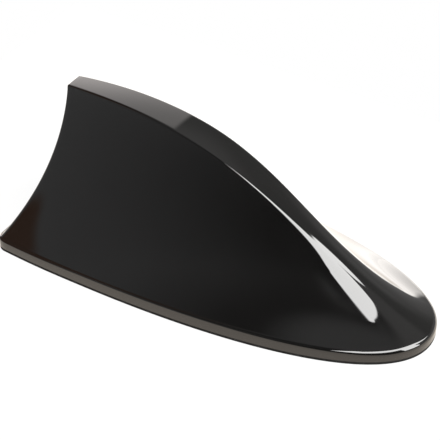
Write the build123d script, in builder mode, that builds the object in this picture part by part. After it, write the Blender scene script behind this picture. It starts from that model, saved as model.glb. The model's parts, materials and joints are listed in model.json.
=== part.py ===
from build123d import *
from math import cos, hypot, radians, sin
import os

os.makedirs("parts", exist_ok=True)

# Shark fin aerial for a car roof, in millimetres
# Overall sizes: the nose points to +X and the roof is the plane Z = 0
length = 165.0
width = 76.5
tail_width = 72.0
crest_height = 61.6
tail_height = 61.0
tail_lean = 15.3

# Rim of the cover, seen from above as a bullet with a straight tail
seal_thickness = 0.9
rim_top = 4.2
rim_round = 0.6
rim_wall = 2.4
ledge = 1.0
tail_corner = 3.5
least_corner = 1.25
widest_x = -37.0
flank_pull = 18.0
flank_bulge = 2.2
nose_pull = 60.0
nose_fullness = 28.0
nose_draw = 0.7

# Crest line of the fin and the corner between the crest and its sides
corner_degree = 2
side_degree = 4
run_out = 7.5
run_out_drop = 3.25
crown_setback = 58.0
crown_rise = 13.7
brow_setback = 64.0
brow_rise = 18.0
crest_half = 5.3
brow_half = 5.0
tail_corner_run = 1.15
crown_corner_run = 1.3
brow_corner_run = 3.0
crest_side_angle = 83.0
brow_side_angle = 65.0
crest_draw = 0.8

# Foot line where the skin meets the rim, and how it runs around the nose
foot_tail_draw = 1.44
foot_mid_x = -30.0
foot_mid_bulge = 2.6
foot_front_setback = 46.1
foot_front_draw = 1.8
foot_angle = 50.0
foot_front_angle = 22.0
nose_angle = 17.0
side_pull = 0.33
nose_crest_run = 6.1
nose_corner_run = 13.3
nose_foot_run = 27.5
tail_edge_round = 1.6
cover_wall = 2.2
seam_search = 0.01

# Base plate, its seal groove and the adhesive pad below it
plate_thickness = 3.0
plate_gap = 0.3
seal_setback = 0.4
seal_width = 5.2
groove_inset = 3.7
groove_width = 1.3
groove_depth = 1.4
tongue_gap = 0.15
pad_inset = 6.4
pad_screw_hole = 8.0

# Screws that hold the cover to the plate, set back from the tail, the nose and the sides
rear_screw_setback = 14.5
rear_screw_draw = 16.25
front_screw_setback = 38.5
front_screw_draw = 22.25
cover_screw_diameter = 2.9
cover_screw_length = 7.0
cover_head_diameter = 5.6
cover_head_height = 1.2
cover_head_seat = 1.3
cover_boss_diameter = 7.0
head_gap = 0.3
thread_gap = 0.05
hole_end_gap = 0.4
recess_width = 0.9
recess_length = 3.0
recess_depth = 0.7
head_chamfer = 0.3
tip_chamfer = 0.5

# Rubber grommet for the lead
grommet_setback = 50.5
grommet_bore = 5.2
grommet_hole = 12.0
grommet_flange = 16.0
grommet_top = 2.0
rubber_gap = 0.3
grommet_chamfer = 0.6

# Amplifier board on its stand-offs, between the tail and the nose
board_tail_gap = 18.5
board_nose_gap = 62.5
board_width = 34.0
board_thickness = 1.6
board_corner = 2.0
standoff_height = 4.0
standoff_diameter = 6.4
board_screw_inset = 4.0
board_screw_diameter = 2.2
board_screw_length = 5.6
board_head_diameter = 4.2
board_head_height = 1.4
board_recess_length = 2.4
board_recess_width = 0.6

# Upright antenna board with its printed radiator
blade_thickness = 1.2
blade_tail_gap = 9.2
blade_can_gap = 2.0
blade_flat = 22.0
blade_crest_gap = 7.6
blade_front_drop = 10.0
tab_width = 6.0
tab_setback = 10.0
tab_gap = 0.15
tab_stick_out = 0.8
track_width = 2.0
track_thickness = 0.1
track_runs = 7
track_feed_setback = 6.0
track_feed_rise = 0.9
track_low_rise = 4.5
track_margin = 3.0

# Parts soldered to the amplifier board, with places measured from its rear or front edge
can_length = 16.0
can_width = 18.0
can_height = 4.5
can_sheet = 0.4
can_setback = 16.0
can_corner = 1.0
chip_length = 5.0
chip_width = 4.0
chip_height = 1.5
chip_chamfer = 0.2
socket_length = 6.0
socket_width = 7.5
socket_height = 6.0
socket_wall = 1.0
socket_setback = 3.5
socket_pin = 0.8
socket_pin_pitch = 2.5
choke_diameter = 8.0
choke_core = 5.0
choke_height = 6.0
choke_flange = 1.2
winding_gap = 0.3
choke_place = (24.0, -10.0)
capacitor_diameter = 6.3
capacitor_height = 5.4
capacitor_base_side = 6.6
capacitor_base_height = 0.8
capacitor_round = 0.5
capacitor_place = (38.0, 10.0)
small_length = 2.0
small_width = 1.25
small_height = 0.8
resistor_height = 0.5
small_capacitor_places = ((12.0, 8.0), (18.0, 8.0), (24.0, 8.0), (50.0, 11.0), (54.0, 11.0))
small_resistor_places = ((10.0, -8.0), (14.0, -8.0), (34.0, -8.0), (40.0, -8.0), (50.0, -11.0))

# Places and levels that follow from the sizes above
nose_x = length / 2
tail_x = -length / 2
start_x = tail_x - run_out
tail_top_x = tail_x + tail_lean
plate_bottom = seal_thickness
plate_top = plate_bottom + plate_thickness
board_bottom = plate_top + standoff_height
board_top = board_bottom + board_thickness
head_seat_z = plate_bottom + cover_head_seat
cover_screw_tip = head_seat_z + cover_screw_length
rear_screw = (tail_x + rear_screw_setback, width / 2 - rear_screw_draw)
front_screw = (nose_x - front_screw_setback, width / 2 - front_screw_draw)
cover_screw_places = [(x, side * y) for x, y in (rear_screw, front_screw) for side in (1, -1)]
grommet_x = nose_x - grommet_setback
board_rear_x = tail_x + board_tail_gap
board_front_x = nose_x - board_nose_gap
board_length = board_front_x - board_rear_x
board_x = (board_front_x + board_rear_x) / 2
board_screw_y = board_width / 2 - board_screw_inset
board_screw_xs = (board_rear_x + board_screw_inset, board_front_x - board_screw_inset)
board_screw_places = [(x, side * board_screw_y) for x in board_screw_xs for side in (1, -1)]
can_x = board_front_x - can_setback
socket_x = board_front_x - socket_setback
blade_rear_x = tail_top_x + blade_tail_gap
blade_front_x = can_x - can_length / 2 - blade_can_gap
blade_knee_x = blade_rear_x + blade_flat
blade_top_z = crest_height - blade_crest_gap
tab_positions = (blade_rear_x + tab_setback, blade_front_x - tab_setback)
track_feed_x = blade_front_x - track_feed_setback
track_rear_x = blade_rear_x + track_margin + track_width / 2
track_pitch = (track_feed_x - track_rear_x) / (track_runs - 1)
on_base = (Align.CENTER, Align.CENTER, Align.MIN)
from_top = (Align.CENTER, Align.CENTER, Align.MAX)
# The tail is a cylinder about an axis behind it, level with the top of the tail
tail_drop = tail_height - rim_top
tail_reach = tail_lean - ledge
tail_radius = (tail_drop**2 + tail_reach**2) / (2 * tail_reach)


def nose_points(inset):
    """Control points of half the rim's nose, from the widest place to the tip, moved inwards."""
    half = width / 2 - inset
    return (
        (widest_x, half),
        (widest_x + nose_pull, half),
        (nose_x - inset, nose_fullness - inset * nose_draw),
        (nose_x - inset, 0),
    )


def rim_outline(inset):
    """The rim's outline moved inwards, as a flat face on the roof plane."""
    half_tail = tail_width / 2 - inset
    half = width / 2 - inset
    with BuildSketch() as outline:
        with BuildLine():
            Line((tail_x + inset, -half_tail), (tail_x + inset, half_tail))
            flank = Bezier(
                (tail_x + inset, half_tail),
                (tail_x + flank_pull, half_tail + flank_bulge),
                (widest_x - flank_pull, half),
                (widest_x, half),
            )
            nose = Bezier(*nose_points(inset))
            mirror([flank, nose], about=Plane.XZ)
        make_face()
        corners = outline.vertices().group_by(Axis.X)[0]
        fillet(corners, max(tail_corner - inset, least_corner))
    return outline.sketch


def raise_degree(points):
    """Control points of the same curve with one point more."""
    count = len(points)
    inner = []
    for k in range(1, count):
        inner.append(points[k - 1] * (k / count) + points[k] * (1 - k / count))
    return [points[0], *inner, points[-1]]


def fin_solid(inset, base_z):
    """The fin above base_z, its skin moved inwards, as patches sewn into one solid."""
    tip = Edge.make_bezier(*nose_points(ledge + inset / sin(radians(nose_angle))))
    # One row of values for each control section: place, height, corner, run, side angle
    sections = (
        (start_x, crest_height - run_out_drop, crest_half, tail_corner_run, crest_side_angle),
        (nose_x - crown_setback, crest_height + crown_rise, crest_half, crown_corner_run, crest_side_angle),
        (nose_x - brow_setback, rim_top + brow_rise, brow_half, brow_corner_run, brow_side_angle),
    )
    feet = (
        (start_x, tail_width / 2 - foot_tail_draw, foot_angle),
        (foot_mid_x, width / 2 + foot_mid_bulge, foot_angle),
        (nose_x - foot_front_setback, width / 2 - foot_front_draw, foot_front_angle),
    )
    columns = []
    for (x, height, half, run, angle), (foot_x, foot_half, foot_slope) in zip(sections, feet):
        down = Vector(0, cos(radians(angle)), -sin(radians(angle)))
        out = Vector(0, cos(radians(foot_slope)), -sin(radians(foot_slope)))
        level = height - inset
        corner = Vector(x, half - inset * crest_draw, level)
        bend = min(run, corner.Y / 2)
        foot = Vector(foot_x, foot_half - inset / sin(radians(foot_slope)), base_z)
        pull = side_pull * hypot(foot.Y - corner.Y, foot.Z - corner.Z)
        shift = Vector((foot_x - x) / 3, 0, 0)
        column = [
            Vector(x, 0, level),
            corner - Vector(0, bend, 0),
            corner,
            corner + down * bend,
            corner + down * bend * (1 + corner_degree / side_degree),
            corner + down * pull + shift,
            foot - out * pull - shift,
            foot,
        ]
        columns.append(column)
    # The rows end around the tip of the nose, along tangents to the rim
    lift = Vector(0, 0, base_z)
    marks = [tip.length - run for run in (nose_crest_run, nose_corner_run, nose_foot_run)]
    crest_end, corner_end, foot_end = [tip.position_at(m, PositionMode.LENGTH) for m in marks]
    crest_way, corner_way, foot_way = [tip.tangent_at(m, PositionMode.LENGTH) for m in marks]
    gap = corner_end - crest_end
    reach = gap.cross(corner_way).Z / crest_way.cross(corner_way).Z
    corner_point = crest_end + crest_way * reach
    middle = crest_end + crest_way * (-crest_end.Y / crest_way.Y)
    first_pull = corner_end + (corner_end - corner_point) * (corner_degree / (side_degree - 1))
    last_pull = foot_end + foot_way * ((foot_end - corner_end).length / (side_degree - 1))
    side_end = raise_degree([corner_end, first_pull, last_pull, foot_end])
    columns.append([point + lift for point in (middle, crest_end, corner_point, *side_end)])
    rows = [list(row) for row in zip(*columns)]
    mirrored = [[Vector(p.X, -p.Y, p.Z) for p in row] for row in rows]
    crest = Face.make_bezier_surface([mirrored[1], rows[0], rows[1]])
    skins = [crest]
    for side in (rows, mirrored):
        crest_rows = side[1 : 2 + corner_degree]
        side_rows = side[1 + corner_degree :]
        skins.append(Face.make_bezier_surface(crest_rows))
        skins.append(Face.make_bezier_surface(side_rows))
    open_edges = ShapeList(edge for skin in skins for edge in skin.edges())
    tail_edges = open_edges.filter_by_position(Axis.X, start_x - seam_search, start_x + seam_search)
    foot_edges = open_edges.filter_by_position(Axis.Z, base_z - seam_search, base_z + seam_search)
    closing = Edge.make_line(rows[7][0], mirrored[7][0])
    tail_face = Face(Wire(tail_edges + [closing]))
    foot_face = Face(Wire(foot_edges + [closing]))
    return Solid(Shell(skins + [tail_face, foot_face]))


with BuildPart() as rim:
    with BuildSketch(Plane.XY.offset(seal_thickness)):
        add(rim_outline(0))
    extrude(amount=rim_top - seal_thickness)
    fillet(rim.edges().group_by(Axis.Z)[-1], rim_round)

# Outer shape of the cover, still filled
with BuildPart() as envelope:
    add(fin_solid(0, rim_top))
    with Locations((tail_top_x - tail_radius, 0, tail_height)):
        Cylinder(tail_radius, 2 * width, rotation=(90, 0, 0), mode=Mode.SUBTRACT)
    tail_face = envelope.faces().filter_by(GeomType.CYLINDER)[0]
    tail_edges = tail_face.edges().filter_by(lambda edge: edge.center().Z > rim_top + tail_edge_round)
    fillet(tail_edges, tail_edge_round)
    add(rim.part)

# Space inside the cover, down to the shoulder that the base plate seats on
with BuildPart() as cavity:
    add(fin_solid(cover_wall, plate_top))
    with Locations((tail_top_x - tail_radius, 0, tail_height)):
        Cylinder(tail_radius + cover_wall, 2 * width, rotation=(90, 0, 0), mode=Mode.SUBTRACT)

with BuildPart() as bosses:
    with Locations(*[(x, y, plate_top) for x, y in cover_screw_places]):
        Cylinder(cover_boss_diameter / 2, crest_height, align=on_base)
    add(envelope.part, mode=Mode.INTERSECT)

with BuildPart() as fin_cover:
    add(envelope.part)
    add(cavity.part, mode=Mode.SUBTRACT)
    with BuildSketch(Plane.XY.offset(seal_thickness)):
        add(rim_outline(rim_wall))
    extrude(amount=plate_thickness, mode=Mode.SUBTRACT)
    add(bosses.part)
    with Locations(*[(x, y, plate_top) for x, y in cover_screw_places]):
        Cylinder(
            cover_screw_diameter / 2 + thread_gap,
            cover_screw_tip + hole_end_gap - plate_top,
            align=on_base,
            mode=Mode.SUBTRACT,
        )
fin_cover.part.label = "fin_cover"
export_step(fin_cover.part, "parts/fin_cover.step")

with BuildPart() as base_plate:
    with BuildSketch(Plane.XY.offset(plate_bottom)):
        add(rim_outline(rim_wall + plate_gap))
    extrude(amount=plate_thickness)
    with BuildSketch(Plane.XY.offset(plate_bottom)):
        add(rim_outline(groove_inset))
        add(rim_outline(groove_inset + groove_width), mode=Mode.SUBTRACT)
    extrude(amount=groove_depth, mode=Mode.SUBTRACT)
    with Locations(*[(x, y, plate_top) for x, y in board_screw_places]):
        Cylinder(standoff_diameter / 2, standoff_height, align=on_base)
    with Locations(*[(x, y, plate_bottom) for x, y in cover_screw_places]):
        Cylinder(cover_head_diameter / 2 + head_gap, cover_head_seat, align=on_base, mode=Mode.SUBTRACT)
        Cylinder(cover_screw_diameter / 2 + head_gap, plate_thickness, align=on_base, mode=Mode.SUBTRACT)
    with Locations(*[(x, y, board_bottom) for x, y in board_screw_places]):
        Cylinder(
            board_screw_diameter / 2 + thread_gap,
            board_screw_length - board_thickness + hole_end_gap,
            align=from_top,
            mode=Mode.SUBTRACT,
        )
    with Locations((grommet_x, 0, plate_bottom)):
        Cylinder(grommet_hole / 2, plate_thickness, align=on_base, mode=Mode.SUBTRACT)
base_plate.part.label = "base_plate"
export_step(base_plate.part, "parts/base_plate.step")

with BuildPart() as rim_seal:
    with BuildSketch():
        add(rim_outline(seal_setback))
        add(rim_outline(seal_setback + seal_width), mode=Mode.SUBTRACT)
    extrude(amount=seal_thickness)
    with BuildSketch(Plane.XY.offset(seal_thickness)):
        add(rim_outline(groove_inset + tongue_gap))
        add(rim_outline(groove_inset + groove_width - tongue_gap), mode=Mode.SUBTRACT)
    extrude(amount=groove_depth - tongue_gap)
rim_seal.part.label = "rim_seal"
export_step(rim_seal.part, "parts/rim_seal.step")

with BuildPart() as adhesive_pad:
    with BuildSketch():
        add(rim_outline(pad_inset))
        with Locations((grommet_x, 0)):
            Circle(grommet_flange / 2 + rubber_gap, mode=Mode.SUBTRACT)
        with Locations(*cover_screw_places):
            Circle(pad_screw_hole / 2, mode=Mode.SUBTRACT)
    extrude(amount=seal_thickness)
adhesive_pad.part.label = "adhesive_pad"
export_step(adhesive_pad.part, "parts/adhesive_pad.step")

with BuildPart() as cable_grommet:
    with Locations((grommet_x, 0, 0)):
        Cylinder(grommet_flange / 2, seal_thickness, align=on_base)
        Cylinder(grommet_hole / 2 - rubber_gap, plate_top + grommet_top, align=on_base)
    with Locations((grommet_x, 0, plate_top)):
        Cylinder(grommet_flange / 2, grommet_top, align=on_base)
    chamfer(cable_grommet.edges().group_by(Axis.Z)[-1], grommet_chamfer)
    with Locations((grommet_x, 0, 0)):
        Cylinder(grommet_bore / 2, plate_top + grommet_top, align=on_base, mode=Mode.SUBTRACT)
cable_grommet.part.label = "cable_grommet"
export_step(cable_grommet.part, "parts/cable_grommet.step")

with BuildPart() as cover_screws:
    with Locations(*[(x, y, head_seat_z) for x, y in cover_screw_places]):
        Cylinder(cover_head_diameter / 2, cover_head_height, align=from_top)
        Cylinder(cover_screw_diameter / 2, cover_screw_length, align=on_base)
    chamfer(cover_screws.edges().group_by(Axis.Z)[0], head_chamfer)
    chamfer(cover_screws.edges().group_by(Axis.Z)[-1], tip_chamfer)
    with Locations(*[(x, y, head_seat_z - cover_head_height) for x, y in cover_screw_places]):
        Box(recess_length, recess_width, recess_depth, align=on_base, mode=Mode.SUBTRACT)
        Box(recess_width, recess_length, recess_depth, align=on_base, mode=Mode.SUBTRACT)
cover_screws.part.label = "cover_screws"
export_step(cover_screws.part, "parts/cover_screws.step")

with BuildPart() as amplifier_board:
    with BuildSketch(Plane.XY.offset(board_bottom)):
        with Locations((board_x, 0)):
            RectangleRounded(board_length, board_width, board_corner)
        with Locations(*board_screw_places):
            Circle(board_screw_diameter / 2 + head_gap, mode=Mode.SUBTRACT)
        with Locations(*[(x, 0) for x in tab_positions]):
            Rectangle(tab_width + 2 * tab_gap, blade_thickness + 2 * tab_gap, mode=Mode.SUBTRACT)
    extrude(amount=board_thickness)
amplifier_board.part.label = "amplifier_board"
export_step(amplifier_board.part, "parts/amplifier_board.step")

with BuildPart() as board_screws:
    with Locations(*[(x, y, board_top) for x, y in board_screw_places]):
        Cylinder(board_head_diameter / 2, board_head_height, align=on_base)
        Cylinder(board_screw_diameter / 2, board_screw_length, align=from_top)
    chamfer(board_screws.edges().group_by(Axis.Z)[-1], head_chamfer)
    chamfer(board_screws.edges().group_by(Axis.Z)[0], tip_chamfer)
    with Locations(*[(x, y, board_top + board_head_height) for x, y in board_screw_places]):
        Box(board_recess_length, board_recess_width, recess_depth, align=from_top, mode=Mode.SUBTRACT)
        Box(board_recess_width, board_recess_length, recess_depth, align=from_top, mode=Mode.SUBTRACT)
board_screws.part.label = "board_screws"
export_step(board_screws.part, "parts/board_screws.step")


def blade_edge(x):
    """Height of the antenna board's top edge at x."""
    share = max(0, (x - blade_knee_x) / (blade_front_x - blade_knee_x))
    return blade_top_z - blade_front_drop * share


with BuildPart() as antenna_board:
    with BuildSketch(Plane.XZ):
        with BuildLine():
            Polyline(
                (blade_rear_x, board_top),
                (blade_rear_x, blade_top_z),
                (blade_knee_x, blade_top_z),
                (blade_front_x, blade_top_z - blade_front_drop),
                (blade_front_x, board_top),
                close=True,
            )
        make_face()
        with Locations(*[(x, board_top) for x in tab_positions]):
            Rectangle(tab_width, board_thickness + tab_stick_out, align=(Align.CENTER, Align.MAX))
    extrude(amount=blade_thickness / 2, both=True)
antenna_board.part.label = "antenna_board"
export_step(antenna_board.part, "parts/antenna_board.step")

# The track runs up and down in even steps from the feed at the front to the rear
track_points = [(track_feed_x, board_top + track_feed_rise)]
for run in range(track_runs - 1):
    run_x = track_feed_x - run * track_pitch
    link_z = board_top + track_low_rise if run % 2 else blade_edge(run_x) - track_margin
    track_points.append((run_x, link_z))
    track_points.append((run_x - track_pitch, link_z))
track_points.append((track_rear_x, blade_top_z - track_margin))

with BuildPart() as radiator_track:
    with BuildSketch(Plane.XZ.offset(blade_thickness / 2)):
        with BuildLine():
            Polyline(*track_points)
        trace(line_width=track_width)
    extrude(amount=track_thickness)
radiator_track.part.label = "radiator_track"
export_step(radiator_track.part, "parts/radiator_track.step")

with BuildPart() as shield_can:
    with BuildSketch(Plane.XY.offset(board_top)):
        with Locations((can_x, 0)):
            RectangleRounded(can_length, can_width, can_corner)
    extrude(amount=can_height)
    with BuildSketch(Plane.XY.offset(board_top)):
        with Locations((can_x, 0)):
            RectangleRounded(can_length - 2 * can_sheet, can_width - 2 * can_sheet, can_corner - can_sheet)
    extrude(amount=can_height - can_sheet, mode=Mode.SUBTRACT)
shield_can.part.label = "shield_can"
export_step(shield_can.part, "parts/shield_can.step")

with BuildPart() as amplifier_chip:
    with Locations((can_x, 0, board_top)):
        Box(chip_length, chip_width, chip_height, align=on_base)
    chamfer(amplifier_chip.edges().group_by(Axis.Z)[-1], chip_chamfer)
amplifier_chip.part.label = "amplifier_chip"
export_step(amplifier_chip.part, "parts/amplifier_chip.step")

socket_front_x = socket_x + socket_length / 2
with BuildPart() as cable_socket:
    with Locations((socket_x, 0, board_top)):
        Box(socket_length, socket_width, socket_height, align=on_base)
    with Locations((socket_front_x, 0, board_top + socket_height / 2)):
        Box(
            socket_length - socket_wall,
            socket_width - 2 * socket_wall,
            socket_height - 2 * socket_wall,
            align=(Align.MAX, Align.CENTER, Align.CENTER),
            mode=Mode.SUBTRACT,
        )
cable_socket.part.label = "cable_socket"
export_step(cable_socket.part, "parts/cable_socket.step")

with BuildPart() as socket_pins:
    back_x = socket_x - socket_length / 2 + socket_wall
    pin_z = board_top + socket_height / 2
    with Locations((back_x, -socket_pin_pitch / 2, pin_z), (back_x, socket_pin_pitch / 2, pin_z)):
        Box(
            socket_length - 2 * socket_wall,
            socket_pin,
            socket_pin,
            align=(Align.MIN, Align.CENTER, Align.CENTER),
        )
socket_pins.part.label = "socket_pins"
export_step(socket_pins.part, "parts/socket_pins.step")

choke_x = board_rear_x + choke_place[0]
choke_y = choke_place[1]
with BuildPart() as ferrite_choke:
    with Locations((choke_x, choke_y, board_top)):
        Cylinder(choke_diameter / 2, choke_flange, align=on_base)
        Cylinder(choke_core / 2, choke_height, align=on_base)
    with Locations((choke_x, choke_y, board_top + choke_height)):
        Cylinder(choke_diameter / 2, choke_flange, align=from_top)
ferrite_choke.part.label = "ferrite_choke"
export_step(ferrite_choke.part, "parts/ferrite_choke.step")

with BuildPart() as choke_winding:
    with Locations((choke_x, choke_y, board_top + choke_flange)):
        Cylinder(choke_diameter / 2 - winding_gap, choke_height - 2 * choke_flange, align=on_base)
        Cylinder(
            choke_core / 2 + winding_gap,
            choke_height - 2 * choke_flange,
            align=on_base,
            mode=Mode.SUBTRACT,
        )
choke_winding.part.label = "choke_winding"
export_step(choke_winding.part, "parts/choke_winding.step")

capacitor_x = board_rear_x + capacitor_place[0]
capacitor_y = capacitor_place[1]
with BuildPart() as capacitor_base:
    with Locations((capacitor_x, capacitor_y, board_top)):
        Box(capacitor_base_side, capacitor_base_side, capacitor_base_height, align=on_base)
capacitor_base.part.label = "capacitor_base"
export_step(capacitor_base.part, "parts/capacitor_base.step")

with BuildPart() as filter_capacitor:
    with Locations((capacitor_x, capacitor_y, board_top + capacitor_base_height)):
        Cylinder(capacitor_diameter / 2, capacitor_height, align=on_base)
    fillet(filter_capacitor.edges().group_by(Axis.Z)[-1], capacitor_round)
filter_capacitor.part.label = "filter_capacitor"
export_step(filter_capacitor.part, "parts/filter_capacitor.step")

with BuildPart() as chip_capacitors:
    with Locations(*[(board_rear_x + x, y, board_top) for x, y in small_capacitor_places]):
        Box(small_length, small_width, small_height, align=on_base)
chip_capacitors.part.label = "chip_capacitors"
export_step(chip_capacitors.part, "parts/chip_capacitors.step")

with BuildPart() as chip_resistors:
    with Locations(*[(board_rear_x + x, y, board_top) for x, y in small_resistor_places]):
        Box(small_length, small_width, resistor_height, align=on_base)
chip_resistors.part.label = "chip_resistors"
export_step(chip_resistors.part, "parts/chip_resistors.step")
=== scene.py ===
import bmesh
import bpy
import json
import numpy as np
from math import cos, hypot, pi, radians, sin, tan
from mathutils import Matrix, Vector
from mathutils.bvhtree import BVHTree


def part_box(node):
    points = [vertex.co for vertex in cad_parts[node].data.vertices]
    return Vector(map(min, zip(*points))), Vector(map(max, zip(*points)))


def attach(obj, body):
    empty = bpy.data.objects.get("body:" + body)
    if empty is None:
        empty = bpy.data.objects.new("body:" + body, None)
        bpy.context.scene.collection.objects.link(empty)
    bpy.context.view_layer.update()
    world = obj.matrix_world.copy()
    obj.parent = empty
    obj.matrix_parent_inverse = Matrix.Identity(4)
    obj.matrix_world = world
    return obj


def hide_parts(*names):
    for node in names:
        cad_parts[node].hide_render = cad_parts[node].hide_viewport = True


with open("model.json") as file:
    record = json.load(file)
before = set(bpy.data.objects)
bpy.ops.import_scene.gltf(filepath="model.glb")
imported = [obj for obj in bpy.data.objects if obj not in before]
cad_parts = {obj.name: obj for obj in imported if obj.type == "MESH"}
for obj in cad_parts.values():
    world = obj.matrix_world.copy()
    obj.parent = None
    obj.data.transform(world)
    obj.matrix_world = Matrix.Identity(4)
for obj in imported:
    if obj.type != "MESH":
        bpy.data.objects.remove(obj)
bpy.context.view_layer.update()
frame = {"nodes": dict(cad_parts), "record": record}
nodes = frame["nodes"]
print("frame loaded,", len(nodes), "nodes")


class Wire:  # one node output; sums written on it add Math nodes
    def __init__(self, finish, socket):
        self.finish = finish
        self.socket = socket

    def maths(self, operation, first, second):
        return self.finish.node("ShaderNodeMath", {"operation": operation}, {0: first, 1: second})

    def __add__(self, other):
        return self.maths("ADD", self, other)

    def __radd__(self, other):
        return self.maths("ADD", other, self)

    def __sub__(self, other):
        return self.maths("SUBTRACT", self, other)

    def __rsub__(self, other):
        return self.maths("SUBTRACT", other, self)

    def __mul__(self, other):
        return self.maths("MULTIPLY", self, other)

    def __rmul__(self, other):
        return self.maths("MULTIPLY", other, self)


class Finish:  # one node tree: a material, or the world
    def __init__(self, owner):
        owner.use_nodes = True
        self.owner = owner
        self.tree = owner.node_tree
        self.tree.nodes.clear()

    def plug(self, socket, value):
        if isinstance(value, Wire):
            self.tree.links.new(value.socket, socket)
        elif hasattr(socket.default_value, "__len__") and not hasattr(value, "__len__"):
            socket.default_value = [value] * len(socket.default_value)
        else:
            socket.default_value = value

    def node(self, kind, settings=None, inputs=None, out=0):
        made = self.tree.nodes.new(kind)
        for name, value in (settings or {}).items():
            setattr(made, name, value)
        for name, value in (inputs or {}).items():
            self.plug(made.inputs[name], value)
        return Wire(self, made.outputs[out]) if made.outputs else made

    def blend(self, share, first, second):  # two colours
        settings = {"data_type": "RGBA", "clamp_factor": True}
        return self.node("ShaderNodeMix", settings, {0: share, 6: first, 7: second}, out=2)

    def vectors(self, operation, first, second, out=0):
        return self.node("ShaderNodeVectorMath", {"operation": operation}, {0: first, 1: second}, out=out)

    def ease(self, value, low, high, start=0.0, end=1.0):  # a soft step from low to high
        settings = {"interpolation_type": "SMOOTHSTEP"}
        inputs = {"Value": value, "From Min": low, "From Max": high, "To Min": start, "To Max": end}
        return self.node("ShaderNodeMapRange", settings, inputs)

    def place(self):  # metres in the part's own frame
        return self.node("ShaderNodeTexCoord", out=3)

    def noise(self, size, detail=2.0, rough=0.5, stretch=None):
        where = self.place()
        if stretch:
            where = self.vectors("MULTIPLY", where, stretch)
        inputs = {"Vector": where, "Scale": 1 / size, "Detail": detail, "Roughness": rough}
        return self.node("ShaderNodeTexNoise", None, inputs)

    def cells(self, size):
        inputs = {"Vector": self.place(), "Scale": 1 / size}
        return self.node("ShaderNodeTexVoronoi", None, inputs)

    def bump(self, height, depth):  # depth in metres
        return self.node("ShaderNodeBump", None, {"Height": height, "Distance": depth, "Strength": 1.0})

    def surface(self, shader):
        self.node("ShaderNodeOutputMaterial", None, {"Surface": shader})


def newFinish(name):
    return Finish(bpy.data.materials.new(name))


def closeFinish(finish, varying, fixed):
    shader = finish.node("ShaderNodeBsdfPrincipled", None, {**fixed, **varying})
    finish.surface(shader)
    return finish.owner


# Black lacquer of the cover: deep, wet gloss with a trace of orange peel and handling haze
lacquerLook = {
    "deep": (0.0032, 0.0030, 0.0029, 1),
    "worn": (0.0052, 0.0050, 0.0048, 1),
    "gloss": 0.035,
    "haze": 0.035,
    "hazeSize": 0.018,
    "peelSize": 0.0035,
    "peelDepth": 0.0000012,
}


def blackLacquer():
    finish = newFinish("black_lacquer")
    cloud = finish.noise(lacquerLook["hazeSize"], 4)
    haze = finish.ease(cloud, 0.5, 0.8)
    peel = finish.noise(lacquerLook["peelSize"], 1)
    varying = {
        "Base Color": finish.blend(cloud, lacquerLook["deep"], lacquerLook["worn"]),
        "Roughness": haze * lacquerLook["haze"] + lacquerLook["gloss"],
        "Normal": finish.bump(peel, lacquerLook["peelDepth"]),
    }
    fixed = {"IOR": 1.5, "Coat Weight": 1.0, "Coat Roughness": 0.03, "Coat IOR": 1.5}
    return closeFinish(finish, varying, fixed)


# Seal and grommet: dull rubber with a bloom of talc
rubberLook = {
    "dark": (0.010, 0.010, 0.010, 1),
    "bloom": (0.032, 0.031, 0.030, 1),
    "grain": 0.0006,
    "depth": 0.00004,
}


def sealRubber():
    finish = newFinish("seal_rubber")
    bloom = finish.ease(finish.noise(0.006, 5, 0.65), 0.45, 0.8)
    grain = finish.noise(rubberLook["grain"], 3)
    varying = {
        "Base Color": finish.blend(bloom, rubberLook["dark"], rubberLook["bloom"]),
        "Roughness": bloom * 0.12 + 0.62,
        "Normal": finish.bump(grain, rubberLook["depth"]),
    }
    return closeFinish(finish, varying, {"IOR": 1.45, "Specular IOR Level": 0.2})


# Base plate: moulded black with a spark-eroded grain
plateLook = {
    "low": (0.012, 0.012, 0.013, 1),
    "high": (0.028, 0.028, 0.029, 1),
    "grain": 0.0009,
    "depth": 0.00005,
}


def grainedPlastic():
    finish = newFinish("moulded_black")
    cells = finish.cells(plateLook["grain"])
    flow = finish.noise(0.03, 3, 0.6, (0.4, 1.0, 1.0))
    varying = {
        "Base Color": finish.blend(cells * 0.6 + flow * 0.4, plateLook["low"], plateLook["high"]),
        "Roughness": cells * 0.15 + 0.42,
        "Normal": finish.bump(cells, plateLook["depth"]),
    }
    return closeFinish(finish, varying, {"IOR": 1.5})


# Foam tape: closed cells under a thin skin
foamLook = {
    "cell": (0.030, 0.030, 0.031, 1),
    "wall": (0.075, 0.074, 0.073, 1),
    "size": 0.0007,
    "depth": 0.00012,
}


def foamTape():
    finish = newFinish("foam_tape")
    cells = finish.cells(foamLook["size"])
    skin = finish.noise(0.012, 4)
    pits = finish.ease(cells, 0.15, 0.7)
    varying = {
        "Base Color": finish.blend(pits * 0.7 + skin * 0.3, foamLook["cell"], foamLook["wall"]),
        "Roughness": skin * 0.15 + 0.75,
        "Normal": finish.bump(pits, foamLook["depth"]),
    }
    return closeFinish(finish, varying, {"IOR": 1.4})


# Zinc-plated screws: bright metal, turned marks, a little dulling
screwLook = {
    "bright": (0.56, 0.56, 0.54, 1),
    "dull": (0.34, 0.34, 0.32, 1),
    "mark": 0.0004,
    "depth": 0.00001,
}


def platedSteel():
    finish = newFinish("screw_steel")
    dull = finish.ease(finish.noise(0.0025, 4, 0.6), 0.4, 0.75)
    turned = finish.noise(screwLook["mark"], 2, 0.5, (0.15, 0.15, 1.0))
    varying = {
        "Base Color": finish.blend(dull, screwLook["bright"], screwLook["dull"]),
        "Roughness": dull * 0.2 + 0.22,
        "Normal": finish.bump(turned, screwLook["depth"]),
    }
    return closeFinish(finish, varying, {"Metallic": 1.0})


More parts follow.
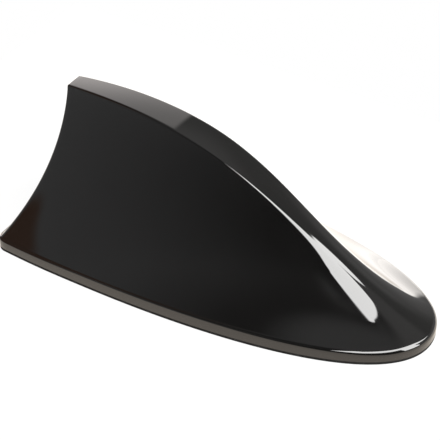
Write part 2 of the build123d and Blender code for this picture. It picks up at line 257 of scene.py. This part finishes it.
# Boards: glass weave under green solder mask, with copper runs showing through
boardLook = {
    "mask": (0.012, 0.085, 0.034, 1),
    "run": (0.030, 0.165, 0.062, 1),
    "weave": 0.0009,
    "runPitch": 0.0042,
    "depth": 0.00002,
}


def boardMask():
    finish = newFinish("board_green")
    where = finish.place()
    settings = {"wave_type": "BANDS", "bands_direction": "DIAGONAL", "wave_profile": "SAW"}
    inputs = {"Vector": where, "Scale": 1 / boardLook["runPitch"], "Distortion": 2.5, "Detail": 0.0}
    runs = finish.ease(finish.node("ShaderNodeTexWave", settings, inputs, out=1), 0.55, 0.62)
    weave = finish.noise(boardLook["weave"], 1, 0.5, (1.0, 0.35, 1.0))
    varying = {
        "Base Color": finish.blend(runs * 0.8 + weave * 0.2, boardLook["mask"], boardLook["run"]),
        "Roughness": weave * 0.12 + 0.24,
        "Normal": finish.bump(runs + weave * 0.3, boardLook["depth"]),
    }
    return closeFinish(finish, varying, {"IOR": 1.5})


# Metals and mouldings on the boards share one recipe: two tones, a mottle and a fine relief
smallLooks = {
    "copper_foil": {
        "first": (0.72, 0.36, 0.20, 1), "second": (0.45, 0.20, 0.10, 1), "stretch": (1.0, 1.0, 0.3),
        "metal": 1.0, "rough": 0.28, "spread": 0.18, "size": 0.0016, "depth": 0.000006,
    },
    "tinned_sheet": {
        "first": (0.66, 0.66, 0.64, 1), "second": (0.46, 0.46, 0.45, 1), "stretch": (0.2, 1.0, 1.0),
        "metal": 1.0, "rough": 0.24, "spread": 0.22, "size": 0.0022, "depth": 0.00001,
    },
    "chip_black": {
        "first": (0.018, 0.018, 0.018, 1), "second": (0.036, 0.036, 0.037, 1), "stretch": (1.0, 1.0, 1.0),
        "metal": 0.0, "rough": 0.48, "spread": 0.14, "size": 0.0004, "depth": 0.00001,
    },
    "socket_white": {
        "first": (0.74, 0.71, 0.62, 1), "second": (0.62, 0.58, 0.48, 1), "stretch": (1.0, 1.0, 0.5),
        "metal": 0.0, "rough": 0.42, "spread": 0.12, "size": 0.0015, "depth": 0.00001,
    },
    "pin_brass": {
        "first": (0.78, 0.60, 0.28, 1), "second": (0.56, 0.40, 0.16, 1), "stretch": (0.2, 1.0, 1.0),
        "metal": 1.0, "rough": 0.25, "spread": 0.15, "size": 0.0007, "depth": 0.000005,
    },
    "ferrite": {
        "first": (0.040, 0.040, 0.043, 1), "second": (0.085, 0.083, 0.082, 1), "stretch": (1.0, 1.0, 1.0),
        "metal": 0.0, "rough": 0.55, "spread": 0.20, "size": 0.0005, "depth": 0.00002,
    },
    "capacitor_can": {
        "first": (0.74, 0.74, 0.74, 1), "second": (0.55, 0.55, 0.56, 1), "stretch": (1.0, 1.0, 0.12),
        "metal": 1.0, "rough": 0.22, "spread": 0.16, "size": 0.0008, "depth": 0.000006,
    },
    "ceramic_tan": {
        "first": (0.50, 0.36, 0.22, 1), "second": (0.38, 0.25, 0.14, 1), "stretch": (1.0, 1.0, 1.0),
        "metal": 0.0, "rough": 0.35, "spread": 0.15, "size": 0.0004, "depth": 0.000008,
    },
}


def smallFinish(name):
    look = smallLooks[name]
    finish = newFinish(name)
    mottle = finish.ease(finish.noise(look["size"] * 3, 3, 0.6), 0.35, 0.75)
    relief = finish.noise(look["size"], 2, 0.5, look["stretch"])
    varying = {
        "Base Color": finish.blend(mottle, look["first"], look["second"]),
        "Roughness": mottle * look["spread"] + look["rough"],
        "Normal": finish.bump(relief, look["depth"]),
    }
    return closeFinish(finish, varying, {"Metallic": look["metal"]})


finishes = {
    "gloss_black": blackLacquer(),
    "seal_rubber": sealRubber(),
    "moulded_black": grainedPlastic(),
    "foam_tape": foamTape(),
    "screw_steel": platedSteel(),
    "board_green": boardMask(),
}
for smallName in smallLooks:
    finishes[smallName] = smallFinish(smallName)
for subpart in frame["record"]["subparts"]:
    skin = nodes[subpart["node"]].data
    skin.materials.clear()
    skin.materials.append(finishes[subpart["material_slot"]])

# Cover: one hollow moulding, in millimetres, between the ends that the frame gives
coverLow, coverHigh = [np.array(corner) * 1000 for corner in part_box("fin_cover")]
coverShape = {
    "tail": coverLow[0],
    "nose": coverHigh[0],
    "halfWidth": coverHigh[1],
    "tailHalf": 36.6,
    "rimFoot": coverLow[2] + 0.3,
    "rimTop": 4.2,
    "rimRound": 0.9,
    "noseRound": 2.2,
    "noseRun": (10.0, 62.0),
    "rimWall": 2.4,
    "rimSlope": 25.0,
    "ledge": 1.0,
    "noseLedge": 1.5,
    "lipSpread": 0.1,
    "lipRises": (0.9, 1.6, 2.4, 1.4),
    "tailCorner": 4.5,
    "leastCorner": 1.25,
    "widest": -37.0,
    "flankPull": 18.0,
    "flankBulge": 1.6,
    "nosePull": 60.0,
    "noseFullness": 28.0,
    "noseDraw": 0.7,
    "noseAngle": 17.0,
    "noseRuns": (6.1, 13.3, 27.5),
    "tailLean": 14.0,
    "tailPower": 2.77,
    "tailHeight": 61.0,
    "tailRounds": (1.0, 2.0),
    "innerRound": 0.8,
    "sidePull": 0.33,
    "crestDraw": 0.8,
    "crown": 0.15,
    "cornerStops": ((0.0, 0.75), (0.2, 0.75), (0.42, 0.18), (0.5, 0.18), (0.9, 1.0)),
    "shell": 2.2,
    "shoulder": 3.9,
    "screws": ((-68.0, 22.0), (-68.0, -22.0), (44.0, 16.0), (44.0, -16.0)),
    "bossRadius": 3.5,
    "holeRadius": 1.5,
    "holeTop": 9.6,
    "bossBite": 0.6,
    "bossStart": 0.2,
}
# Control sections: place, height, half crest, corner run and side angle,
# then the foot's place, half width and angle
coverSections = (
    (coverShape["tail"] - 7.5, 57.6, 1.9, 1.15, 83, coverShape["tail"] - 7.5, 34.56, 50),
    (coverShape["nose"] - 68.58, 74.9, 12.34, 1.3, 83, -30.0, 40.85, 50),
    (coverShape["nose"] - 62.98, 29.65, -1.47, 3.0, 65, coverShape["nose"] - 46.1, 36.45, 22),
)
coverSteps = {
    "side": 40,
    "corner": 12,
    "crest": 10,
    "along": 120,
    "round": 8,
    "rim": 8,
    "boss": 32,
    "halvings": 40,
}
outlineSteps = {"end": 400, "corner": 60, "rear": 600, "front": 1200, "nose": 8000, "widening": 200}
sharpAngle = radians(50)
tailShares = (0.03, 0.12, 0.3, 0.5, 0.7, 0.88, 0.97)


def bezier(points, t):
    work = np.repeat(np.asarray(points, float)[:, None, :], len(t), axis=1)
    share = np.asarray(t, float)[:, None]
    while len(work) > 1:
        work = work[:-1] * (1 - share) + work[1:] * share
    return work[0]


def nosePoints(inset):
    shape = coverShape
    half = shape["halfWidth"] - inset
    tip = shape["nose"] - inset
    bow = shape["noseFullness"] - inset * shape["noseDraw"]
    return ((shape["widest"], half), (shape["widest"] + shape["nosePull"], half), (tip, bow), (tip, 0))


def rimOutline(inset):  # dense closed outline of the rim, seen from above
    shape = coverShape
    half = shape["tailHalf"] - inset
    tail = shape["tail"] + inset
    bend = max(shape["tailCorner"] - inset, shape["leastCorner"])
    flank = (
        (tail, half),
        (shape["tail"] + shape["flankPull"], half + shape["flankBulge"]),
        (shape["widest"] - shape["flankPull"], shape["halfWidth"] - inset),
        (shape["widest"], shape["halfWidth"] - inset),
    )
    rear = bezier(flank, np.linspace(0, 1, outlineSteps["rear"]))
    front = bezier(nosePoints(inset), np.linspace(0, 1, outlineSteps["front"]))
    side = np.vstack([rear, front])
    middle = np.array([tail + bend, half + flankRise(flank, tail + bend) - bend])
    turn = np.linspace(pi, pi / 2, outlineSteps["corner"])
    corner = middle + bend * np.stack([np.cos(turn), np.sin(turn)], axis=1)
    halfEnd = np.linspace(0, middle[1], outlineSteps["end"], endpoint=False)
    end = np.column_stack([np.full(len(halfEnd), tail), halfEnd])
    side = np.vstack([end, corner, side[side[:, 0] > tail + bend]])
    return np.vstack([side, side[::-1] * (1, -1)])


def flankRise(flank, x):  # how far the flank has widened at x
    run = bezier(flank, np.linspace(0, 1, outlineSteps["widening"]))
    return np.interp(x, run[:, 0], run[:, 1]) - flank[0][1]


def noseEnd(inset, base):  # where the rows of the skin end, around the tip of the nose
    path = bezier(nosePoints(inset), np.linspace(0, 1, outlineSteps["nose"]))
    run = np.concatenate([[0], np.cumsum(np.linalg.norm(np.diff(path, axis=0), axis=1))])
    places = [np.searchsorted(run, run[-1] - back) for back in coverShape["noseRuns"]]
    crest, corner, foot = [path[k] for k in places]
    ways = [path[k + 1] - path[k - 1] for k in places]
    crestWay, cornerWay, footWay = [way / np.linalg.norm(way) for way in ways]
    gap = corner - crest
    turn = crestWay[0] * cornerWay[1] - crestWay[1] * cornerWay[0]
    peak = crest + crestWay * (gap[0] * cornerWay[1] - gap[1] * cornerWay[0]) / turn
    middle = crest - crestWay * crest[1] / crestWay[1]
    first = corner + (corner - peak) * 2 / 3
    last = foot + footWay * np.linalg.norm(foot - corner) / 3
    ends = [middle, crest, peak, corner]
    ends += [corner * 0.25 + first * 0.75, (first + last) / 2, last * 0.75 + foot * 0.25, foot]
    return [np.append(end, base) for end in ends]


# Eight rows of four control points, from the crest down to the foot
def coverNet(inset, base, rises, spread):
    columns = []
    for section, rise in zip(coverSections, rises):
        x, height, half, run, angle, footX, footHalf, footAngle = section
        down = np.array([0, cos(radians(angle)), -sin(radians(angle))])
        out = np.array([0, cos(radians(footAngle)), -sin(radians(footAngle))])
        corner = np.array([x, half - inset * coverShape["crestDraw"], height - inset])
        foot = np.array([footX, footHalf + spread - inset / sin(radians(footAngle)), base + rise])
        pull = coverShape["sidePull"] * hypot(foot[1] - corner[1], foot[2] - corner[2])
        shift = np.array([(footX - x) / 3, 0, 0])
        columns.append([
            np.array([x, 0, height + coverShape["crown"] - inset]),
            corner - (0, run, 0),
            corner,
            corner + down * run,
            corner + down * run * 1.5,
            corner + down * pull + shift,
            foot - out * pull - shift,
            foot,
        ])
    back = coverShape["noseLedge"] + inset / sin(radians(coverShape["noseAngle"]))
    columns.append(noseEnd(back, base + rises[-1]))
    return np.array(columns).transpose(1, 0, 2)


def cornerSize(u):  # share of the full corner: crisp along the middle, open towards the nose
    places, sizes = np.array(coverShape["cornerStops"]).T
    k = np.clip(np.searchsorted(places, u) - 1, 0, len(places) - 2)
    ease = np.clip((np.asarray(u) - places[k]) / (places[k + 1] - places[k]), 0, 1)
    return sizes[k] + (sizes[k + 1] - sizes[k]) * ease ** 2 * (3 - 2 * ease)


def netRows(net, u):  # the eight rows at the shares u along them
    rows = bezier(net.transpose(1, 0, 2).reshape(4, 24), u).reshape(-1, 8, 3).transpose(1, 0, 2)
    size = cornerSize(u)
    for k in (1, 3, 4):
        rows[k] = rows[2] + (rows[k] - rows[2]) * size[:, None]
    return rows


def across(rows, share):
    while len(rows) > 1:
        rows = rows[:-1] * (1 - share) + rows[1:] * share
    return rows[0]


def skinLine(net, patch, share, side):  # one lengthwise line of the skin
    def along(u):
        rows = netRows(net, u)
        if patch == "crest":
            return across(np.array([rows[1] * (1, -1, 1), rows[0], rows[1]]), share)
        return across(rows[3:8] if patch == "side" else rows[1:4], share) * (1, side, 1)
    return along


def skinLines(net):  # from the near foot over the crest to the far foot
    plan = []
    for patch in ("side", "corner"):
        plan += [(patch, share) for share in np.linspace(1, 0, coverSteps[patch] + 1)[:-1]]
    near = [skinLine(net, patch, share, -1) for patch, share in plan]
    over = [skinLine(net, "crest", share, 1) for share in np.linspace(0, 1, coverSteps["crest"] + 1)]
    far = [skinLine(net, patch, share, 1) for patch, share in plan[::-1]]
    return near + over + far


def tailFace(z, inset):  # the hollow tail: its place at a height, and the way it faces into the body
    shape = coverShape
    drop = shape["tailHeight"] - shape["rimTop"]
    reach = shape["tailLean"] - shape["ledge"]
    low = max(shape["tailHeight"] - z, 0) / drop
    slope = shape["tailPower"] * reach / drop * low ** (shape["tailPower"] - 1)
    place = shape["tail"] + shape["tailLean"] - reach * low ** shape["tailPower"] + inset
    return place, np.array([1, 0, -slope]) / hypot(1, slope)


def tailCut(line, inset):  # share of the line at which it leaves the tail's hollow
    low, high = 0.0, 0.6
    for halving in range(coverSteps["halvings"]):
        mid = (low + high) / 2
        spot = line([mid])[0]
        if spot[0] < tailFace(spot[2], inset)[0]:
            low = mid
        else:
            high = mid
    return high


def coverSkin(net, inset, rounds):  # rows of points: tail edge round first, then along the line to the nose
    shape = coverShape
    lines = skinLines(net)
    cuts = [tailCut(line, inset) for line in lines]
    edge = np.array([line([cut])[0] for line, cut in zip(lines, cuts)])
    along = np.gradient(edge, axis=0)
    turn = np.linspace(0, 1, coverSteps["round"] + 1)
    rows = []
    for k, (line, cut) in enumerate(zip(lines, cuts)):
        ahead = line([cut + 0.001])[0] - edge[k]
        speed = np.linalg.norm(ahead) / 0.001
        ahead = ahead / np.linalg.norm(ahead)
        inward = np.cross(along[k], tailFace(edge[k][2], inset)[1])
        inward = inward / np.linalg.norm(inward)
        angle = np.arccos(np.clip(ahead @ inward, -1, 1))
        rounding = np.interp(edge[k][2], (shape["rimTop"], shape["tailHeight"]), rounds[::-1])
        back = rounding / tan(angle / 2)
        start = cut + back / speed
        last = edge[k] + inward * back
        if k in (0, len(lines) - 1):
            last[2] = edge[k][2]
        last[0] = tailFace(last[2], inset)[0]
        weight = cos((pi - angle) / 2)
        share = np.stack([(1 - turn) ** 2, 2 * turn * (1 - turn) * weight, turn ** 2], axis=1)
        share = share / share.sum(axis=1, keepdims=True)
        arc = share @ np.array([last, edge[k], line([start])[0]])
        rows.append(np.vstack([arc, line(np.linspace(start, 1, coverSteps["along"] + 1))[1:]]))
    return rows


def nearestOn(outline, loop):
    gaps = ((loop[:, None, :2] - outline[None, :, :]) ** 2).sum(axis=2)
    return outline[gaps.argmin(axis=1)]


class Moulding:  # points and faces of the cover as they are laid down
    def __init__(self):
        self.points = []
        self.faces = []

    def lay(self, points):
        start = len(self.points)
        self.points += [tuple(point) for point in points]
        return list(range(start, len(self.points)))

    def strip(self, first, second, closed=False):
        count = len(first)
        for k in range(count if closed else count - 1):
            after = (k + 1) % count
            self.faces.append((first[k], first[after], second[after], second[k]))

    def skin(self, rows):  # lays a skin and its tail face; gives back the loop around its foot
        table = [self.lay(row) for row in rows]
        for first, second in zip(table, table[1:]):
            self.strip(first, second)
        count = len(rows)
        middle = count // 2
        bars = []
        for k in range(middle):
            near, far = rows[k][0], rows[count - 1 - k][0]
            inner = self.lay([near + (far - near) * share for share in tailShares])
            bars.append([table[k][0], *inner, table[count - 1 - k][0]])
        for first, second in zip(bars, bars[1:]):
            self.strip(first, second)
        for first, second in zip(bars[-1], bars[-1][1:]):
            self.faces.append((first, second, table[middle][0]))
        return table[0] + [row[-1] for row in table[1:]] + table[-1][-2::-1] + bars[0][-2:0:-1]


def mouldCover():
    shape = coverShape
    work = Moulding()
    outerNet = coverNet(0, shape["rimTop"], shape["lipRises"], shape["lipSpread"])
    innerNet = coverNet(shape["shell"], shape["shoulder"], (0, 0, 0, 0), 0)
    outer = work.skin(coverSkin(outerNet, 0, shape["tailRounds"]))
    inner = work.skin(coverSkin(innerNet, shape["shell"], (shape["innerRound"], shape["innerRound"])))
    sharp = [outer, inner]
    # The rim rolls over from the foot to an upright wall, then turns under to the shoulder
    foot = np.array([work.points[k] for k in outer])
    edge = nearestOn(rimOutline(0), foot)
    gap = np.linalg.norm(edge - foot[:, :2], axis=1)
    crown = np.column_stack([edge, foot[:, 2] - gap * tan(radians(shape["rimSlope"]))])
    nearNose = np.clip((foot[:, 0] - shape["noseRun"][0]) / np.ptp(shape["noseRun"]), 0, 1)
    drop = shape["rimRound"] + (shape["noseRound"] - shape["rimRound"]) * nearNose ** 2 * (3 - 2 * nearNose)
    wall = np.column_stack([edge, foot[:, 2] - drop])
    ring = outer
    for turn in np.linspace(0, 1, coverSteps["rim"] + 1)[1:]:
        roll = foot * (1 - turn) ** 2 + crown * 2 * turn * (1 - turn) + wall * turn ** 2
        ring = bridgeTo(work, ring, roll)
    ring = bridgeTo(work, ring, np.column_stack([edge, np.full(len(edge), shape["rimFoot"])]))
    sharp.append(ring)
    inside = nearestOn(rimOutline(shape["rimWall"]), foot)
    for level in (shape["rimFoot"], shape["shoulder"]):
        ring = bridgeTo(work, ring, np.column_stack([inside, np.full(len(inside), level)]))
        sharp.append(ring)
    work.strip(ring, inner, closed=True)
    return work, sharp


def bridgeTo(work, ring, points):
    made = work.lay(points)
    work.strip(ring, made, closed=True)
    return made


def addBosses(work):  # screw posts that grow up into the skin
    shape = coverShape
    tree = BVHTree.FromPolygons(work.points, work.faces)
    turns = np.linspace(0, 2 * pi, coverSteps["boss"], endpoint=False)
    circle = np.stack([np.cos(turns), np.sin(turns)], axis=1)
    for x, y in shape["screws"]:
        post = circle * shape["bossRadius"] + (x, y)
        hole = circle * shape["holeRadius"] + (x, y)
        start = shape["shoulder"] + shape["bossStart"]
        hits = [tree.ray_cast((a, b, start), (0, 0, 1))[0] for a, b in post]
        roof = [hit[2] + shape["bossBite"] for hit in hits]
        floor = np.full(len(turns), shape["shoulder"])
        rings = [
            work.lay([(x, y, shape["holeTop"])]),
            work.lay(np.column_stack([hole, np.full(len(turns), shape["holeTop"])])),
            work.lay(np.column_stack([hole, floor])),
            work.lay(np.column_stack([post, floor])),
            work.lay(np.column_stack([post, roof])),
            work.lay([(x, y, float(np.mean(roof)))]),
        ]
        for first, second in zip(rings[1:], rings[2:-1]):
            work.strip(first, second, closed=True)
        for cap, ring in ((rings[0][0], rings[1]), (rings[-1][0], rings[-2])):
            for k in range(len(ring)):
                work.faces.append((ring[k], ring[(k + 1) % len(ring)], cap))


def finishPiece(name, work, sharp, slot):
    mesh = bpy.data.meshes.new(name)
    mesh.from_pydata([Vector(point) * 0.001 for point in work.points], [], work.faces)
    shape = bmesh.new()
    shape.from_mesh(mesh)
    bmesh.ops.recalc_face_normals(shape, faces=shape.faces)
    ringOf = {}
    for number, ring in enumerate(sharp):
        for k in ring:
            ringOf[k] = number
    for face in shape.faces:
        face.smooth = True
    for line in shape.edges:
        a, b = [corner.index for corner in line.verts]
        sameRing = a in ringOf and ringOf.get(a) == ringOf.get(b)
        line.smooth = not sameRing and line.calc_face_angle(0) < sharpAngle
    shape.to_mesh(mesh)
    shape.free()
    mesh.materials.append(finishes[slot])
    piece = bpy.data.objects.new(name, mesh)
    bpy.context.collection.objects.link(piece)
    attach(piece, "root")
    return piece


def makeCover():
    work, sharp = mouldCover()
    addBosses(work)
    cover = finishPiece("cover_shell", work, sharp, "gloss_black")
    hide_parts("fin_cover")
    print("cover moulded,", len(cover.data.polygons), "faces")


makeCover()

# Bead of the seal: the rounded edge that shows as a dark line under the rim
beadShape = {
    # Pairs of inset and height
    "section": ((0.5, 0.02), (0.1, 0.02), (0.04, 0.2), (0.02, 0.6), (0.04, 0.95), (0.1, 1.17), (0.5, 1.17)),
    "steps": 420,
}


def makeBead():
    work = Moulding()
    outline = rimOutline(0)
    run = np.concatenate([[0], np.cumsum(np.linalg.norm(np.diff(outline, axis=0), axis=1))])
    stops = np.linspace(0, run[-1], beadShape["steps"], endpoint=False)
    loop = np.column_stack([np.interp(stops, run, outline[:, 0]), np.interp(stops, run, outline[:, 1])])
    rings = []
    for inset, z in beadShape["section"]:
        rings.append(work.lay([(a, b, z) for a, b in nearestOn(rimOutline(inset), loop)]))
    for first, second in zip(rings, rings[1:] + rings[:1]):
        work.strip(first, second, closed=True)
    finishPiece("seal_bead", work, [rings[0], rings[-1]], "seal_rubber")


makeBead()
print("seal bead made")


def heading(azimuth, elevation):  # azimuth 0 looks from -Y, 90 from +X
    a, e = radians(azimuth), radians(elevation)
    return Vector((sin(a) * cos(e), -cos(a) * cos(e), sin(e)))


# The view: a long lens from ahead of one side, well above the roof
viewLook = {
    "azimuth": 30.67,
    "elevation": 38.8,
    "distance": 0.5798,
    "pivot": (0, 0, 0.022),
    "lens": 129.4,
    "aside": -0.0042,
    "lift": 0.00033,
}


def aimCamera():
    camera = bpy.data.objects.new("camera", bpy.data.cameras.new("camera"))
    bpy.context.collection.objects.link(camera)
    back = heading(viewLook["azimuth"], viewLook["elevation"])
    across = Vector((cos(radians(viewLook["azimuth"])), sin(radians(viewLook["azimuth"])), 0))
    camera.location = Vector(viewLook["pivot"]) + back * viewLook["distance"]
    target = Vector(viewLook["pivot"]) + across * viewLook["aside"]
    target += back.cross(across) * viewLook["lift"]
    camera.rotation_euler = (target - camera.location).to_track_quat("-Z", "Y").to_euler()
    camera.data.lens = viewLook["lens"]
    camera.data.sensor_width = 36
    camera.data.clip_start = 0.01
    bpy.context.scene.camera = camera


aimCamera()

# White table under the aerial: plain white to the camera, open when seen from below, and with a painted
# glow that only reflections on the cover see
tableLook = {
    "level": -0.00005,
    "halfLength": 0.16,
    "halfWidth": 0.125,
    "paper": (0.8, 0.8, 0.8, 1),
    "white": 1.04,
    "nearPaintedGlow": (0.90, 0.81, 0.71, 1),
    "farPaintedGlow": (2.6, 2.5, 2.4, 1),
    "farRun": (0.03, 0.075),
    "shadow": 0.12,
}


def layTable():
    mesh = bpy.data.meshes.new("table")
    x, y = tableLook["halfLength"], tableLook["halfWidth"]
    z = tableLook["level"]
    mesh.from_pydata([(-x, -y, z), (x, -y, z), (x, y, z), (-x, y, z)], [], [(0, 1, 2, 3)])
    table = bpy.data.objects.new("table", mesh)
    bpy.context.collection.objects.link(table)
    finish = newFinish("table_paper_painted_glow")
    paper = finish.node("ShaderNodeBsdfDiffuse", None, {"Color": tableLook["paper"]})
    white = finish.node("ShaderNodeEmission", None, {"Color": (1, 1, 1, 1), "Strength": tableLook["white"]})
    # Painted reflection: glossy rays see the table glowing instead of its lit paper, warm and dim on the
    # camera's side and brighter further back
    depth = finish.vectors("DOT_PRODUCT", finish.place(), (0, 1, 0), out=1)
    paintedGlowShare = finish.ease(depth, *tableLook["farRun"])
    tone = finish.blend(paintedGlowShare, tableLook["nearPaintedGlow"], tableLook["farPaintedGlow"])
    paintedGlow = finish.node("ShaderNodeEmission", None, {"Color": tone})
    seen = finish.node("ShaderNodeLightPath", out="Is Camera Ray")
    mirrored = finish.node("ShaderNodeLightPath", out="Is Glossy Ray")
    first = finish.node("ShaderNodeMixShader", None, {0: mirrored, 1: paper, 2: paintedGlow})
    share = seen * (1 - tableLook["shadow"])
    top = finish.node("ShaderNodeMixShader", None, {0: share, 1: first, 2: white})
    below = finish.node("ShaderNodeNewGeometry", out="Backfacing")
    clear = finish.node("ShaderNodeBsdfTransparent")
    finish.surface(finish.node("ShaderNodeMixShader", None, {0: below, 1: top, 2: clear}))
    mesh.materials.append(finish.owner)


layTable()

# The room: dark walls, one side lit, a tall window behind the far flank, white behind what the camera sees
roomLook = {
    "wall": (0.038, 0.038, 0.038, 1),
    "ceiling": (0.25, 0.25, 0.25, 1),
    "backDark": (0.20, 0.20, 0.195, 1),
    "backPale": (0.34, 0.335, 0.33, 1),
    "side": (0.285, 0.285, 0.287, 1),
    "corner": (0.18, 0.095, 0.06, 1),
    "windowLow": (2.95, 2.83, 2.72, 1),
    "windowMiddle": (1.85, 1.74, 1.70, 1),
    "windowHigh": (0.98, 0.94, 0.92, 1),
    "key": (8.8, 8.75, 8.65, 1),
    "sideEdge": -40.3,
    "windowEdge": -175.5,
    "windowSlant": 0.132,
    # Where each tone starts and ends, as the sine of the height or of the turn
    "ceilingRun": (0.88, 1.0),
    "paleBelow": (0.58, 0.38),
    "paleAbove": (0.68, 0.78),
    "windowRun": (0.72, 0.44),
    "windowFootRun": (0.42, 0.2),
    "slantRun": (0.25, 0.66),
    "windowTop": (0.80, 0.72),
    "windowSoft": (-0.015, 0.015),
    "windowReach": (0.3, 0.5),
    "backReach": (0.1, 0.4),
    "sideReach": (0.2, 0.6),
    "sideRun": 0.7,
    "sideTop": (0.87, 0.54),
    "cornerSoft": (0.012, -0.014),
    "cornerRun": (0.35, 0.42),
    "keySoft": (-0.008, 0.008),
    "sideGain": 1.33,
    "backAzimuth": 170,
    "windowMiddleAzimuth": -150,
    "keyAzimuth": 76.5,
    # Edges of the key's panes as lines a * along + b * up + c, which are above zero inside
    "keyPanes": (
        ((1.73, -0.77, 3.68), (-0.355, -1.0, 2.413), (-0.55, -0.3, 1.165), (0.0, 1.0, -1.02)),
        ((1.0, 0.0, 0.05), (-1.0, 0.0, 0.5), (0.0, 1.0, -0.2), (0.0, -1.0, 1.1)),
    ),
}


def paintRoom():
    world = bpy.data.worlds.new("room")
    bpy.context.scene.world = world
    finish = Finish(world)
    ray = finish.node("ShaderNodeTexCoord")

    def towards(azimuth):
        return finish.vectors("DOT_PRODUCT", ray, heading(azimuth, 0), out=1)

    high = finish.vectors("DOT_PRODUCT", ray, (0, 0, 1), out=1)
    room = finish.blend(finish.ease(high, *roomLook["ceilingRun"]), roomLook["wall"], roomLook["ceiling"])
    pale = finish.ease(high, *roomLook["paleBelow"]) + finish.ease(high, *roomLook["paleAbove"])
    back = finish.blend(pale, roomLook["backDark"], roomLook["backPale"])
    room = finish.blend(finish.ease(towards(roomLook["backAzimuth"]), *roomLook["backReach"]), room, back)
    lower = finish.ease(high, *roomLook["windowRun"])
    pane = finish.blend(lower, roomLook["windowHigh"], roomLook["windowMiddle"])
    pane = finish.blend(finish.ease(high, *roomLook["windowFootRun"]), pane, roomLook["windowLow"])
    slant = finish.ease(high, *roomLook["slantRun"]) * roomLook["windowSlant"]
    edge = towards(roomLook["windowEdge"] + 90) - slant
    reach = finish.ease(towards(roomLook["windowMiddleAzimuth"]), *roomLook["windowReach"])
    window = finish.ease(edge, *roomLook["windowSoft"]) * reach
    window = window * finish.ease(high, *roomLook["windowTop"])
    room = finish.blend(window, room, pane)
    sweep = towards(roomLook["sideEdge"] + 90)
    near = finish.ease(towards(roomLook["sideEdge"]), *roomLook["sideReach"])
    lit = (roomLook["sideRun"] - sweep) * roomLook["sideGain"] * near
    lit = lit * finish.ease(high, *roomLook["sideTop"])
    room = finish.blend(lit, room, roomLook["side"])
    keyOut = heading(roomLook["keyAzimuth"], 0)
    keyAlong = heading(roomLook["keyAzimuth"] + 90, 0)
    for lines in roomLook["keyPanes"]:
        inside = 1.0
        for along, up, out in lines:
            side = (keyAlong * along + Vector((0, 0, up)) + keyOut * out).normalized()
            step = finish.ease(finish.vectors("DOT_PRODUCT", ray, side, out=1), *roomLook["keySoft"])
            inside = inside * step
        room = finish.blend(inside, room, roomLook["key"])
    past = finish.ease(sweep, *roomLook["cornerSoft"]) * near * finish.ease(high, *roomLook["cornerRun"])
    room = finish.blend(past, room, roomLook["corner"])
    seen = finish.node("ShaderNodeLightPath", out="Is Camera Ray")
    room = finish.blend(seen, room, (1, 1, 1, 1))
    light = finish.node("ShaderNodeBackground", None, {"Color": room})
    finish.node("ShaderNodeOutputWorld", None, {"Surface": light})


paintRoom()
bpy.context.scene.view_settings.view_transform = "Standard"
print("camera, table and room set")
